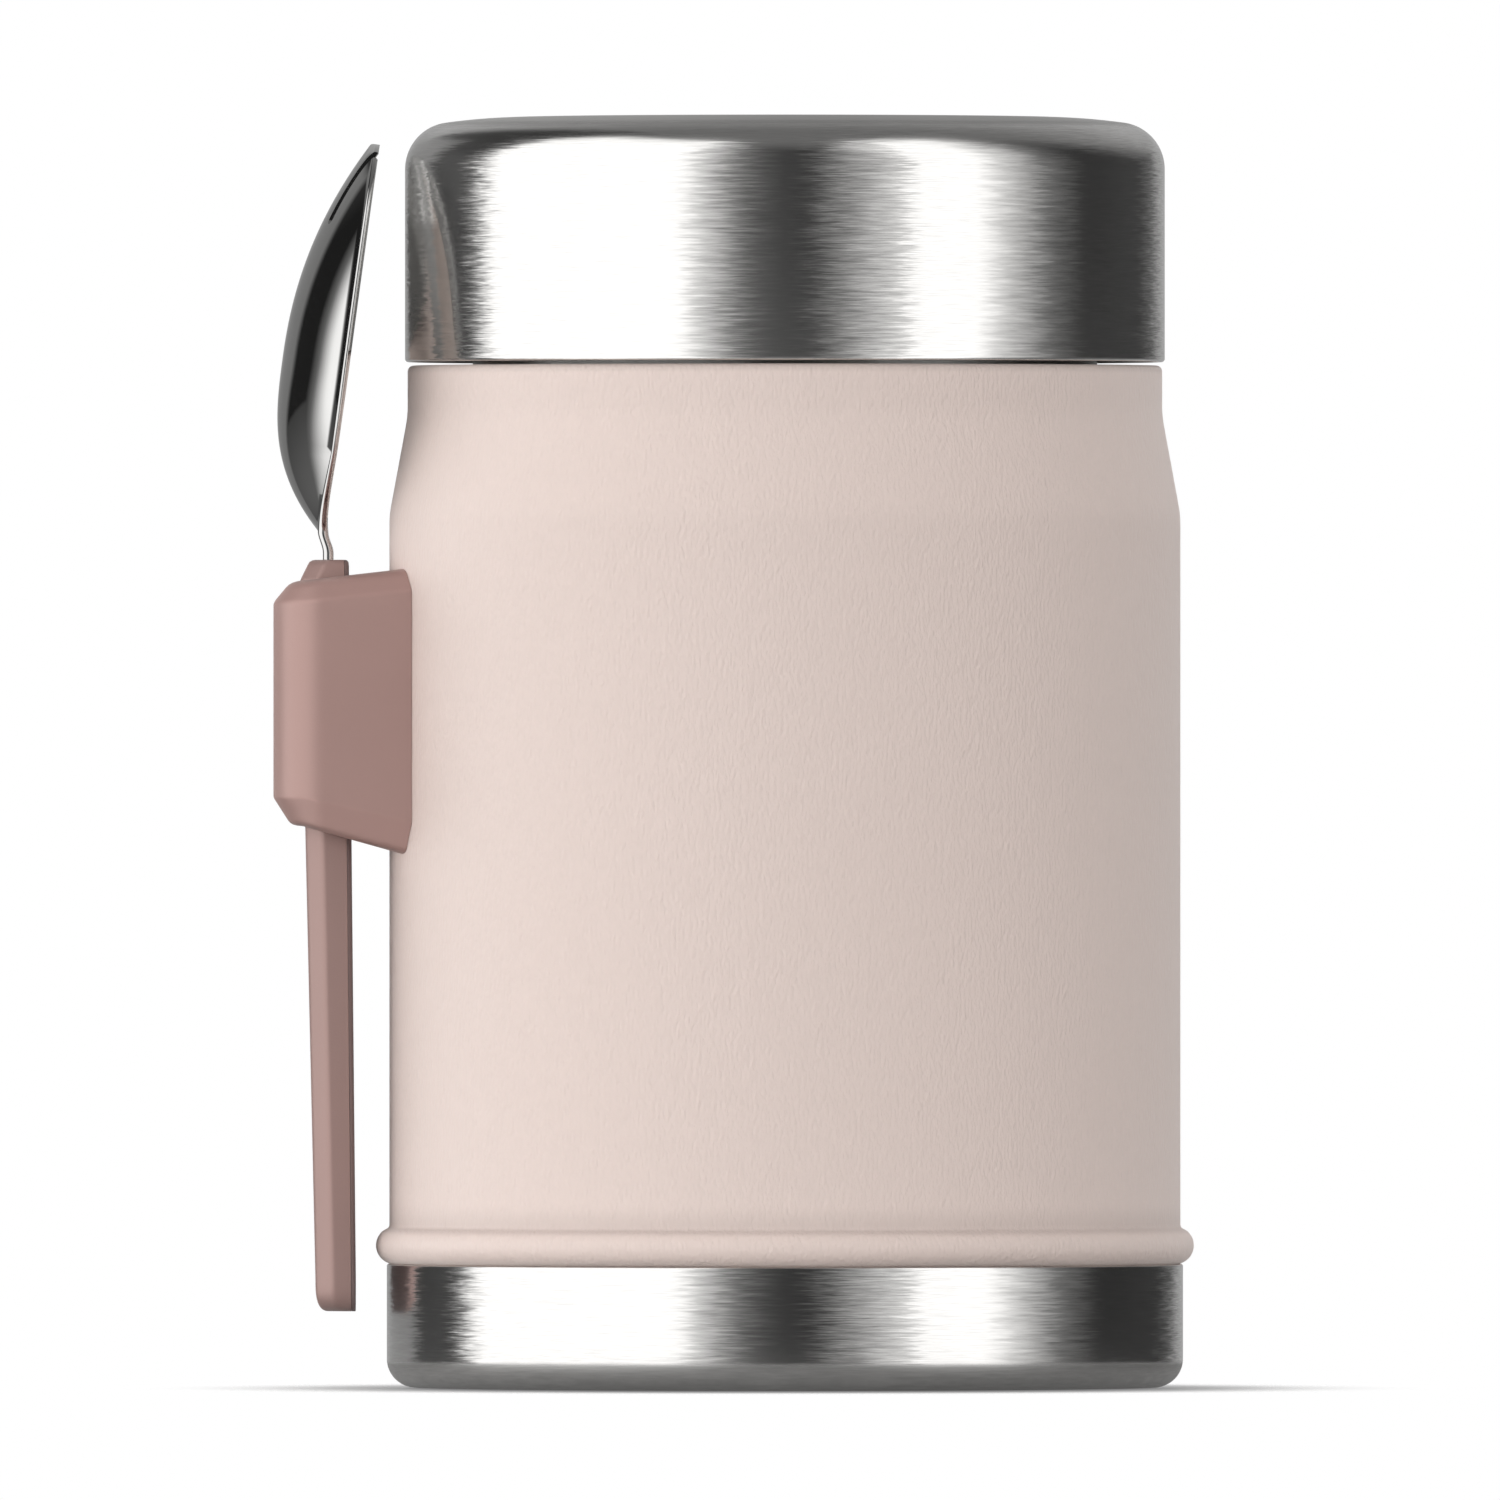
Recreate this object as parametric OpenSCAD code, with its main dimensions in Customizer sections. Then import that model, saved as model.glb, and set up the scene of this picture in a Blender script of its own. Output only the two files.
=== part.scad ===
/* [Jar wall] */
// Outside diameter of the straight painted wall
body_d = 91.2; // [84:0.1:104]
// Height of the painted wall's top edge above the table
body_h = 118.1; // [112:0.1:160]
// Outside diameter of the straight band under the lid
band_d = 87; // [84:0.1:90]
// Height of that band below the top edge
band_h = 4.7; // [3:0.1:8]
// Height of the sloping shoulder below the band
shoulder_h = 12.9; // [8:0.1:16]
// Radius that blends the shoulder into the straight walls
shoulder_blend_r = 12; // [4:0.5:16]
// Rounding of the painted top edge
top_edge_r = 1; // [0.7:0.1:1.5]
// Thickness of the outer steel wall
wall_t = 0.6; // [0.4:0.05:0.8]

/* [Rolled bead] */
// How far the bead stands out from the wall
bead_out = 1.55; // [0.8:0.05:2.2]
// Height of the bead
bead_h = 4.7; // [3.8:0.1:7]
// Open groove between the bead and the base cup
bead_groove = 0.35; // [0.2:0.05:1]

/* [Base cup] */
// Outside diameter of the bare steel base cup
base_d = 91.8; // [90:0.1:92.4]
// Height of the base cup
base_h = 13.7; // [11:0.1:18]
// Rounding of the base cup's lower edge
base_edge_r = 3.3; // [2:0.1:4]
// Thickness of the base cup
base_t = 0.5; // [0.4:0.05:0.8]
// Width of the flat ring that the jar stands on
foot_w = 5.5; // [3:0.5:10]
// Depth of the recess inside the foot ring
foot_recess = 1.6; // [0.8:0.1:2.4]

/* [Neck and thread] */
// Outside diameter of the bare steel neck
neck_d = 72; // [68:0.1:74]
// Height of the neck above the painted top edge
neck_h = 19.2; // [17:0.1:22]
// Thickness of the neck
neck_t = 0.8; // [0.6:0.05:1.2]
// Width of the neck's flange under the painted shoulder
neck_flange_w = 4; // [2:0.5:5]
// Number of threads that start side by side
thread_starts = 3; // [2:1:4]
// Rise of the lid in one full turn
thread_lead = 12; // [9:0.5:18]
// How far the neck's thread stands out
thread_out = 1.2; // [0.8:0.1:1.4]
// Angle that each neck thread runs around
neck_thread_arc = 200; // [140:5:240]
// Angle that each lid thread runs around
lid_thread_arc = 120; // [80:5:130]
// Height of the neck threads' lower ends above the painted top edge
thread_low = 6.9; // [5:0.1:8]
// Half the height of a thread at its foot
thread_half_foot = 1.05; // [0.8:0.05:1.2]
// Half the height of a thread at its crest
thread_half_crest = 0.45; // [0.3:0.05:0.6]

/* [Inner vessel] */
// Outside diameter of the inner vessel
vessel_d = 78; // [74:0.1:82]
// Thickness of the inner vessel
vessel_t = 0.5; // [0.4:0.05:0.8]
// Height of the inner vessel's underside above the table
vessel_floor_z = 11.5; // [10:0.1:20]
// Rounding of the inner vessel's lower edge
vessel_edge_r = 10; // [5:0.5:16]
// Height over which the vessel narrows into its neck
vessel_shoulder_h = 9; // [6:0.5:14]
// Height from the neck's flange down to the vessel's own neck
flange_clear = 1.5; // [1:0.1:4]
// Width of the mouth's lip over the neck
lip_w = 0.9; // [0.8:0.1:1.1]
// Height of the vacuum wall's closing plate above the table
plate_z = 6; // [5:0.1:7]
// Thickness of the heat shield foil
foil_t = 0.15; // [0.1:0.05:0.3]
// Height of the heat shield foil
foil_h = 78; // [40:1:84]
// Diameter of the getter pill
getter_d = 8; // [5:0.5:12]
// Thickness of the getter pill
getter_t = 2; // [1:0.1:2.5]
// Diameter of the evacuation port
port_d = 2; // [1.5:0.1:3]
// Diameter of the seal over the port
port_seal_d = 6; // [4:0.5:9]
// Thickness of the port seal
port_seal_t = 1; // [0.5:0.1:1.5]

/* [Lid] */
// Outside diameter of the lid
lid_d = 87.6; // [87:0.1:90]
// Open line between the painted wall and the lid
lid_gap = 0.5; // [0.3:0.1:1]
// Height of the lid
lid_h = 27.85; // [27:0.05:34]
// Rise of the sloping rim round the lid's flat top
crown_h = 0.65; // [0.3:0.05:1]
// Width of that sloping rim
crown_w = 9.5; // [6:0.5:14]
// Rounding of the lid's upper edge
lid_edge_r = 5.4; // [3:0.1:6.5]
// Rounding of the lid's lower edge
lid_hem_r = 0.4; // [0.2:0.05:0.5]
// Width of the lid shell's inward hem
hem_w = 1.3; // [1:0.1:1.8]
// Thickness of the lid shell
lid_t = 0.5; // [0.4:0.05:0.8]
// Thickness of the moulded lid liner
liner_t = 1.6; // [1.2:0.1:2]
// Depth of the plug below the mouth's lip
plug_depth = 8; // [5:0.5:12]
// Thickness of the silicone seal
seal_t = 1.5; // [1:0.1:2]
// Width of the foam disc's free edge inside the lid
foam_edge = 5; // [4.5:0.1:7]

/* [Spoon] */
// Length of the bowl along its rim
bowl_l = 45.1; // [38:0.1:50]
// Width of the bowl
bowl_w = 31.6; // [24:0.1:34]
// Depth of the bowl to its inside
bowl_depth = 6.7; // [4:0.1:7]
// Thickness of the spoon's steel
blade_t = 1.2; // [0.8:0.1:1.4]
// Angle by which the bowl leans toward the lid
bowl_lean = 7.6; // [4:0.1:8.5]
// Width of the spoon's neck and tang
tang_w = 8; // [6:0.1:10]
// Length of the tang inside the handle
tang_l = 38; // [20:1:60]
// Length of the steel neck between handle and bowl
neck_l = 3.2; // [2.5:0.1:6]
// Step of the neck away from the jar, up to the bowl
neck_step = 0.6; // [0:0.1:1.5]
// Number of slots between the tines
tine_slots = 3; // [1:1:4]
// Length of the slots
slot_l = 9.2; // [5:0.1:12]
// Width of the slots
slot_w = 1.4; // [1:0.1:2]

/* [Spoon handle] */
// Height of the handle's lower end above the table
handle_z = 8.8; // [7.5:0.1:20]
// Length of the handle
handle_l = 86.6; // [70:0.1:90]
// Clear distance between the jar's wall and the handle's upper end
handle_clear = 4.7; // [4.4:0.1:7]
// Thickness of the handle just below its head
handle_top_t = 5.6; // [5:0.1:7]
// Thickness of the handle at its lower end
handle_end_t = 4.6; // [3.8:0.1:5]
// Distance by which the lower end stands nearer to the jar
handle_drift = 0.8; // [0:0.1:1]
// Width of the handle just below its head
handle_top_w = 16; // [12:0.1:18]
// Width of the handle at its lower end
handle_end_w = 14; // [10:0.1:16]
// Height of the narrowing head
head_h = 2.4; // [1.5:0.1:4]
// Rounding of the handle's outer edges
handle_edge_r = 2.2; // [1:0.1:2.4]
// Depth of the tang behind the handle's inner face
tang_inset = 1.75; // [1.2:0.05:2.5]
// Narrowing of the head on each side
head_side = 1.2; // [0.5:0.1:2]
// Rounding of the handle's lower end
end_round = 3.6; // [2:0.1:5]
// Thickness of the handle's rear cover
back_t = 0.6; // [0.4:0.1:1]

/* [Spoon holder] */
// Distance from the jar's wall to the holder's front face
holder_out = 13.3; // [12.6:0.1:15]
// Width of the holder
holder_w = 31; // [27:0.1:36]
// Height of the holder's straight sides at the front
holder_h = 22.3; // [18:0.1:30]
// Distance from the handle's shoulder down to the straight sides
holder_drop = 2.6; // [1.5:0.1:4]
// Radius of the holder's outer edges
holder_edge_r = 6; // [4:0.1:6.5]
// Amount by which the holder's end faces are smaller all round
holder_inset = 3.4; // [2:0.1:3.6]
// Height of the rounded stretch at each end of the holder
holder_end_h = 2.6; // [1.5:0.1:4]
// Width of the welded plate that the holder slides on
rail_w = 19; // [14:0.5:20]
// Height of that plate
rail_h = 18; // [12:0.5:20]
// Thickness of that plate
rail_t = 1.4; // [1:0.1:1.6]

/* [Clearances] */
// Gap between pieces that are pressed or welded together
seat_gap = 0.05; // [0.02:0.01:0.1]
// Gap around the handle inside the holder
slide_gap = 0.3; // [0.25:0.05:0.5]
// Gap between the lid's thread and the thread that it pulls against
thread_gap = 0.2; // [0.1:0.05:0.3]
// Radial gap between a thread's crest and the wall that it faces
crest_gap = 0.4; // [0.3:0.05:0.6]
// Radial gap between the plug and the mouth
plug_gap = 0.85; // [0.5:0.05:1.5]

/* [Hidden] */
$fn = 96;
eps = 0.01;
level_t = 0.1;

// radii and heights of the jar
body_r = body_d / 2;
neck_r = neck_d / 2;
base_r = base_d / 2;
vessel_r = vessel_d / 2;
liner_r = neck_r + thread_out + crest_gap;

// a neck too wide for its lid or for the band pushes both of them outward
rim_push = max(
  0,
  liner_r + liner_t + seat_gap + lid_t - lid_d / 2,
  neck_r + neck_flange_w + seat_gap + top_edge_r - band_d / 2
);
band_r = band_d / 2 + rim_push;
lid_r = lid_d / 2 + rim_push;
bead_low = base_h + bead_groove;
bead_mid = bead_low + bead_h / 2;
skirt_r = base_r - base_t - seat_gap;
skirt_low = base_edge_r + seat_gap;
neck_top = body_h + neck_h;
lip_top = neck_top + vessel_t;
flange_top = body_h - wall_t;

// the vessel's neck stands just inside the steel neck
vessel_neck_r = neck_r - neck_t - seat_gap;
mouth_r = vessel_neck_r - vessel_t;
vessel_neck_low = flange_top - neck_t - flange_clear;

// the lid's pieces, from the mouth outward
plug_r = mouth_r - plug_gap;
seal_top = lip_top + seat_gap + seal_t;
liner_seat = seal_top + seat_gap;
lid_low = body_h + lid_gap;
liner_low = lid_low + lid_t + seat_gap;
lid_top = lid_low + lid_h;
foam_top = lid_top - crown_h - lid_t - 2 * seat_gap;

// how deep a thread is set into its wall, its turn from +X, and the lid thread's place
thread_sink = 0.3;
thread_phase = 3;
thread_flare = (thread_half_foot - thread_half_crest) / (thread_out + thread_sink);
lid_crest_r = neck_r + crest_gap;
thread_lap = liner_r - crest_gap - lid_crest_r;
flank_room = 2 * thread_half_crest + thread_flare * thread_lap;
lid_thread_start = (neck_thread_arc - lid_thread_arc) / 2;

// the spoon's place, seen from the side: x is measured from the jar's axis
handle_in_x = -body_r - handle_clear;
handle_out_x = handle_in_x - handle_top_t;
end_in_x = handle_in_x + handle_drift;
end_out_x = end_in_x - handle_end_t;
handle_top = handle_z + handle_l;
head_z = handle_top - head_h;
tang_x = handle_in_x - tang_inset;
bowl_root = [tang_x - neck_step, handle_top + neck_l];

// the holder's levels
holder_x = -body_r - holder_out;
holder_high = head_z - holder_drop;
holder_low = holder_high - holder_h;
holder_mid = holder_low + holder_h / 2;

// ---------- shared geometry ----------

// points of an arc in the plane
function arc(centre, r, from, to, steps = 8) =
  [for (i = [0 : steps]) let (a = from + (to - from) * i / steps) centre + r * [cos(a), sin(a)]];

// least height in which two opposite arcs can carry a wall sideways
function least_rise(shift, r) = sqrt(abs(shift) * (4 * r - abs(shift)));

// two opposite arcs joined by their common tangent, from one radius up to another
function s_blend(low, high, r) =
  let (
    side = sign(low[0] - high[0]),
    shift = abs(low[0] - high[0]),
    rise = high[1] - low[1],
    lean = asin(2 * r / norm([rise, 2 * r - shift])) - atan2(2 * r - shift, rise)
  )
  side > 0
    ? concat(arc(low - [r, 0], r, 0, lean), arc(high + [r, 0], r, 180 + lean, 180))
    : concat(arc(low + [r, 0], r, 180, 180 - lean), arc(high - [r, 0], r, -lean, 0));

function unit(v) = v / norm(v);
function left_of(v) = [-v[1], v[0]];

// a path moved sideways by t, to its left, with mitred corners; a point on the axis stays on it
function beside(path, t) =
  let (last = len(path) - 1)
  [for (i = [0 : last])
    let (
      before = left_of(unit(i == 0 ? path[1] - path[0] : path[i] - path[i - 1])),
      after = left_of(unit(i == last ? path[last] - path[last - 1] : path[i + 1] - path[i])),
      middle = unit(before + after)
    )
    path[i][0] < eps
      ? [0, path[i][1] + t * after[1]]
      : path[i] + middle * t / (middle * before)];

function backward(list) = [for (i = [len(list) - 1 : -1 : 0]) list[i]];

// points of one side of an outline, followed by their mirror images
function both_sides(points) = concat(points, [for (p = backward(points)) [-p[0], p[1]]]);

// sheet of even thickness turned about the axis; the path runs with the material on its left
module turned_sheet(path, t) {
  rotate_extrude()
    polygon(concat(path, backward(beside(path, t))));
}

// plain ring or disc
module ring(r_out, r_in, low, high) {
  rotate_extrude()
    translate([r_in, low])
      square([r_out - r_in, high - low]);
}

// closed skin over a row of equal rings of points
module loft(rings) {
  count = len(rings);
  m = len(rings[0]);
  points = [for (one = rings) each one];
  sides = [for (i = [0 : count - 2], j = [0 : m - 1])
    [i * m + j, i * m + (j + 1) % m, (i + 1) * m + (j + 1) % m, (i + 1) * m + j]];
  first = [for (j = [m - 1 : -1 : 0]) j];
  last = [for (j = [0 : m - 1]) (count - 1) * m + j];
  polyhedron(points, concat([first], sides, [last]), convexity = 6);
}

// one helical thread whose ends fade into the wall that carries it
module thread(wall_r, crest_r, start_angle, arc_angle, start_z) {
  steps = ceil(arc_angle / 8);
  fade = 2;
  side = sign(crest_r - wall_r);
  foot_r = wall_r - side * thread_sink;
  loft([for (i = [0 : steps])
    let (
      angle = start_angle + arc_angle * i / steps,
      z = start_z + thread_lead * arc_angle * i / steps / 360,
      full = min(1, (0.3 + min(i, steps - i)) / fade),
      tip_r = foot_r + (crest_r - foot_r) * full,
      section = [
        [foot_r, -thread_half_foot], [tip_r, -thread_half_crest],
        [tip_r, thread_half_crest], [foot_r, thread_half_foot]
      ]
    )
    [for (p = side > 0 ? section : backward(section)) [p[0] * cos(angle), p[0] * sin(angle), z + p[1]]]]);
}

module threads(wall_r, crest_r, start_angle, arc_angle, start_z) {
  for (k = [0 : thread_starts - 1])
    rotate(k * 360 / thread_starts + thread_phase)
      thread(wall_r, crest_r, start_angle, arc_angle, start_z);
}

// ---------- the jar ----------

// painted outer wall, from the skirt inside the base cup up to the inner edge of the shoulder
shell_path =
  let (
    bead_r = (pow(bead_h / 2, 2) + pow(bead_out, 2)) / (2 * bead_out),
    bead_angle = asin(bead_h / 2 / bead_r),
    bead_centre = [body_r + bead_out - bead_r, bead_mid],
    band_low = body_h - top_edge_r - band_h,
    shoulder_low = band_low - max(shoulder_h, wall_t + least_rise(body_r - band_r, shoulder_blend_r))
  )
  concat(
    [[skirt_r, skirt_low], [skirt_r, bead_low - eps]],
    arc(bead_centre, bead_r, -bead_angle, bead_angle, 14),
    s_blend([body_r, shoulder_low], [band_r, band_low], shoulder_blend_r),
    arc([band_r - top_edge_r, body_h - top_edge_r], top_edge_r, 0, 90),
    [[neck_r + seat_gap, body_h]]
  );

module outer_shell() {
  color("mistyrose")
    turned_sheet(shell_path, wall_t);
}

// bare steel neck with its thread, welded under the painted shoulder
module neck_ring() {
  color("silver") {
    ring(neck_r, neck_r - neck_t, flange_top - neck_t, neck_top);
    ring(neck_r + neck_flange_w, neck_r - neck_t / 2, flange_top - neck_t, flange_top);
    threads(neck_r, neck_r + thread_out, 0, neck_thread_arc, body_h + thread_low);
  }
}

// inner vessel, whose lip lies on the neck's top
module inner_vessel() {
  blend_r = vessel_shoulder_h / 3;
  shoulder_rise = max(vessel_shoulder_h, vessel_t + least_rise(vessel_r - vessel_neck_r, blend_r));
  path = concat(
    [[0, vessel_floor_z]],
    arc([vessel_r - vessel_edge_r, vessel_floor_z + vessel_edge_r], vessel_edge_r, -90, 0, 10),
    s_blend([vessel_r, vessel_neck_low - shoulder_rise], [vessel_neck_r, vessel_neck_low], blend_r),
    arc([vessel_neck_r + seat_gap, neck_top], seat_gap, 180, 90),
    [[vessel_neck_r + lip_w + seat_gap, neck_top + seat_gap]]
  );
  color("lightgray")
    turned_sheet(path, vessel_t);
}

// plate that closes the vacuum between the two walls, with the port in its middle
module vacuum_plate() {
  turn_r = 1.5;
  plate_r = skirt_r - wall_t - seat_gap;
  low_edge = skirt_low + seat_gap;
  path = concat(
    [[plate_r - wall_t, low_edge]],
    arc([plate_r - wall_t - turn_r, plate_z - turn_r + seat_gap], turn_r, 0, 90),
    [[0, plate_z + seat_gap]]
  );
  color("lightgray")
    difference() {
      turned_sheet(path, -wall_t);
      cylinder(d = port_d, h = 4 * plate_z, center = true);
    }
}

// foil wrapped round the inner vessel's straight wall
module heat_foil() {
  foil_r = vessel_r + 2 * seat_gap;
  foil_low = vessel_floor_z + vessel_edge_r + 1;
  color("goldenrod")
    ring(foil_r + foil_t, foil_r, foil_low, foil_low + foil_h);
}

// pill that keeps the vacuum, welded on the closing plate
module getter() {
  color("dimgray")
    translate([vessel_r / 2, 0, plate_z + seat_gap + wall_t + seat_gap])
      cylinder(d = getter_d, h = getter_t);
}

// solder button over the port
module port_seal() {
  color("gray")
    translate([0, 0, plate_z - port_seal_t])
      cylinder(d = port_seal_d, h = port_seal_t);
}

// bare steel cup that the jar stands on
module base_cup() {
  foot_in = base_r - base_edge_r - foot_w;
  path = concat(
    [[0, foot_recess], [foot_in - foot_recess, foot_recess], [foot_in, 0]],
    arc([base_r - base_edge_r, base_edge_r], base_edge_r, -90, 0),
    [[base_r, base_h]]
  );
  color("silver")
    turned_sheet(path, base_t);
}

// ---------- the spoon's holder ----------

// outline of the dovetail plate on the jar's wall, grown all round by a clearance
module rail_form(grow, low, high) {
  half = rail_w / 2;
  flare = rail_t;
  near_x = -body_r + 2;
  far_x = -body_r - rail_t - grow;
  intersection() {
    translate([0, 0, low])
      linear_extrude(high - low)
        polygon([
          [near_x, -half + flare - grow], [far_x, -half - grow],
          [far_x, half + grow], [near_x, half - flare + grow]
        ]);
    ring(body_r + rail_t + grow, body_r + seat_gap - 3 * grow, low, high);
  }
}

module holder_rail() {
  color("silver")
    rail_form(0, holder_mid - rail_h / 2, holder_mid + rail_h / 2);
}

// outline in plan whose two outer corners are rounded
module round_front(out_x, in_x, half, r) {
  translate([out_x + r, -half])
    square([in_x - out_x - r, 2 * half]);
  translate([out_x, r - half])
    square([in_x - out_x, 2 * (half - r)]);
  for (side = [-1, 1])
    translate([out_x + r, side * (half - r)])
      circle(r = r);
}

// the holder's outer shape: its plan, its side view and its front view cut one another
module holder_form() {
  back_x = -0.9 * body_r;
  half = holder_w / 2;
  near = half - holder_inset;
  depth = back_x - holder_x;
  top_rise = 0.13 * depth;
  low_drop = 0.28 * depth;
  high_z = holder_high + holder_end_h;
  low_z = holder_low - 1.3 * holder_end_h;
  corner = holder_inset / 2;
  side_low = holder_low - holder_end_h;
  translate([0, 0, low_z - low_drop])
    intersection() {
      linear_extrude(high_z + top_rise - low_z + low_drop)
        round_front(holder_x, back_x, half, holder_edge_r);
      translate([0, 0, low_drop - low_z])
        rotate([90, 0, 0])
          linear_extrude(2 * holder_w, center = true)
            polygon([
              [holder_x, holder_low], [holder_x + 0.5 * corner, holder_low - 0.6 * holder_end_h],
              [holder_x + corner, side_low], [holder_x + 2 * corner, low_z],
              [back_x, low_z - low_drop], [back_x, high_z + top_rise], [holder_x + 2 * corner, high_z],
              [holder_x + corner, holder_high + 0.85 * holder_end_h], [holder_x, holder_high]
            ]);
      translate([2 * holder_x, 0, low_drop - low_z])
        rotate([90, 0, 90])
          linear_extrude(-2 * holder_x)
            polygon(both_sides([
              [near, low_z - low_drop], [half - 0.4 * corner, side_low],
              [half, holder_low - 0.6 * holder_end_h], [half, holder_high + 0.3 * holder_end_h],
              [half - 0.4 * corner, high_z - 0.1 * holder_end_h], [near, high_z + top_rise]
            ]));
    }
}

// moulded sleeve that grips the handle
module spoon_holder() {
  pocket_w = handle_top_w + 2 * slide_gap;
  color("rosybrown")
    difference() {
      holder_form();
      translate([0, 0, holder_low - holder_h])
        cylinder(r = body_r + seat_gap, h = 4 * holder_h);
      translate([0, 0, holder_low - holder_h])
        linear_extrude(4 * holder_h)
          round_front(handle_out_x - slide_gap, end_in_x + slide_gap, pocket_w / 2, handle_edge_r);
      rail_form(slide_gap / 2, holder_low - holder_h, holder_mid + rail_h / 2 + slide_gap);
    }
}

// ---------- the lid ----------

module lid_seal() {
  color("whitesmoke")
    ring(liner_r - slide_gap - thread_out, plug_r + slide_gap, lip_top + 2 * seat_gap, seal_top);
}

// brushed outer shell with a hem round its lower edge
module lid_shell() {
  crown_angle = 2 * atan(crown_h / crown_w);
  crown_r = crown_w / sin(crown_angle);
  edge_centre = [lid_r - lid_edge_r, lid_top - crown_h - lid_edge_r * cos(crown_angle)];
  crown_in = edge_centre[0] + lid_edge_r * sin(crown_angle) - crown_w;
  path = concat(
    [[lid_r - hem_w, lid_low]],
    arc([lid_r - lid_hem_r, lid_low + lid_hem_r], lid_hem_r, -90, 0),
    arc(edge_centre, lid_edge_r, 0, 90 - crown_angle, 12),
    arc([crown_in, lid_top - crown_r], crown_r, 90 - crown_angle * 3 / 4, 90, 3),
    [[0, lid_top]]
  );
  color("silver")
    turned_sheet(path, lid_t);
}

// moulded liner: the plug, the flange over the seal and the threaded skirt
module lid_liner() {
  path = [
    [0, lip_top - plug_depth], [plug_r, lip_top - plug_depth], [plug_r, liner_seat],
    [liner_r, liner_seat], [liner_r, liner_low], [lid_r - lid_t - seat_gap, liner_low]
  ];
  lid_thread_z = body_h + thread_low + thread_lead * lid_thread_start / 360 - flank_room - thread_gap;
  color("gainsboro") {
    turned_sheet(path, liner_t);
    threads(liner_r, lid_crest_r, lid_thread_start, lid_thread_arc, lid_thread_z);
  }
}

// foam that fills the plug and lies under the lid's top
module lid_foam() {
  plug_top = liner_seat + liner_t + seat_gap;
  plug_low = lip_top - plug_depth + liner_t + seat_gap;
  color("khaki")
    rotate_extrude()
      polygon([
        [0, plug_low], [plug_r - liner_t - seat_gap, plug_low], [plug_r - liner_t - seat_gap, plug_top],
        [lid_r - lid_t - foam_edge, plug_top], [lid_r - lid_t - foam_edge, foam_top], [0, foam_top]
      ]);
}

// ---------- the spoon ----------

widest = 0.43;

// half width of the bowl at a share of its length
function half_width(u) =
  u < widest
    ? tang_w / 2 + (bowl_w - tang_w) / 2 * pow(sin(90 * u / widest), 1.25)
    : bowl_w / 2 * sqrt(1 - pow((u - widest) / (1 - widest), 2.6));

// depth of the bowl's middle line at a share of its length
function middle_depth(u) =
  bowl_depth * (1 - (u < widest ? pow(1 - u / widest, 2.6) : pow((u - widest) / (1 - widest), 1.9)));

// one ring of the blade: a point on the rim line, the way back, half width and depth
function blade_ring(at, back, half, depth) =
  let (
    across = 12,
    row = [for (i = [0 : across]) -1 + 2 * i / across],
    curve = function (v) depth * (1 - pow(abs(v), 2.4)),
    place = function (v, out) [at[0] + back[0] * out, v * half, at[1] + back[1] * out]
  )
  concat(
    [for (v = row) place(v, curve(v) + blade_t)],
    [for (v = backward(row)) place(v, curve(v))]
  );

// bowl, neck and tang in one sheet of steel; the bowl's overall width is held at bowl_w
module spoon_blade() {
  up = [sin(bowl_lean), cos(bowl_lean)];
  back = [-cos(bowl_lean), sin(bowl_lean)];
  tang_low = handle_top - tang_l;
  bend_z = handle_top + neck_l / 4;
  shares = concat(
    [for (i = [0 : 7]) widest * i / 8],
    [for (i = [0 : 11]) widest + (1 - widest) * sin(86.5 * i / 11)]
  );
  color("lightsteelblue")
    resize([0, bowl_w, 0]) difference() {
      loft(concat(
        [blade_ring([tang_x, tang_low], [-1, 0], tang_w / 2 - 1, 0)],
        [blade_ring([tang_x, tang_low + 1], [-1, 0], tang_w / 2, 0)],
        [blade_ring([tang_x, bend_z], [-1, 0], tang_w / 2, 0)],
        [blade_ring(
          ([tang_x, bend_z] + bowl_root) / 2 + [neck_step / 5, 0], unit([-1, 0] + back), tang_w / 2, 0
        )],
        [for (u = shares)
          blade_ring(bowl_root + up * u * bowl_l, back, half_width(u), middle_depth(u))]
      ));
      translate([bowl_root[0], 0, bowl_root[1]])
        rotate([0, bowl_lean, 0])
          for (i = [1 : tine_slots])
            translate([0, bowl_w * 0.7 * (i / (tine_slots + 1) - 0.5), bowl_l - slot_l])
              rotate([0, -90, 0])
                translate([0, 0, -bowl_depth]) {
                  cylinder(d = slot_w, h = 4 * bowl_depth, $fn = 32);
                  translate([0, -slot_w / 2, 0])
                    cube([2 * slot_l, slot_w, 4 * bowl_depth]);
                }
    }
}

// four corner discs of one level of the handle
module handle_level(z, out_x, in_x, half, out_r) {
  in_r = 0.7;
  for (side = [-1, 1]) {
    translate([out_x + out_r, side * (half - out_r), z])
      cylinder(r = out_r, h = level_t, $fn = 32);
    translate([in_x - in_r, side * (half - in_r), z])
      cylinder(r = in_r, h = level_t, $fn = 16);
  }
}

// the handle's whole outer shape, from the narrowing head down to the rounded end
module handle_form() {
  r = handle_edge_r;
  top_half = handle_top_w / 2;
  end_half = handle_end_w / 2;
  hull() {
    handle_level(handle_top - level_t, handle_out_x + 1, handle_in_x, top_half - head_side, r);
    handle_level(head_z, handle_out_x, handle_in_x, top_half, r);
    handle_level(handle_z + end_round, end_out_x, end_in_x, end_half, r);
    handle_level(handle_z + end_round / 3, end_out_x + 0.3, end_in_x, end_half - 0.36 * end_round, r);
    handle_level(handle_z, end_out_x + 1.4, end_in_x, end_half - 0.95 * end_round, r / 2);
  }
}

// everything on the jar's side of the parting line between the handle and its cover
module behind_parting(extra) {
  lean = atan2(handle_drift, head_z - handle_z);
  translate([handle_in_x - back_t + extra, 0, head_z])
    rotate([0, -lean, 0])
      translate([0, -handle_top_w, -2 * handle_l])
        cube([4 * handle_top_t, 2 * handle_top_w, 4 * handle_l]);
}

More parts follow.
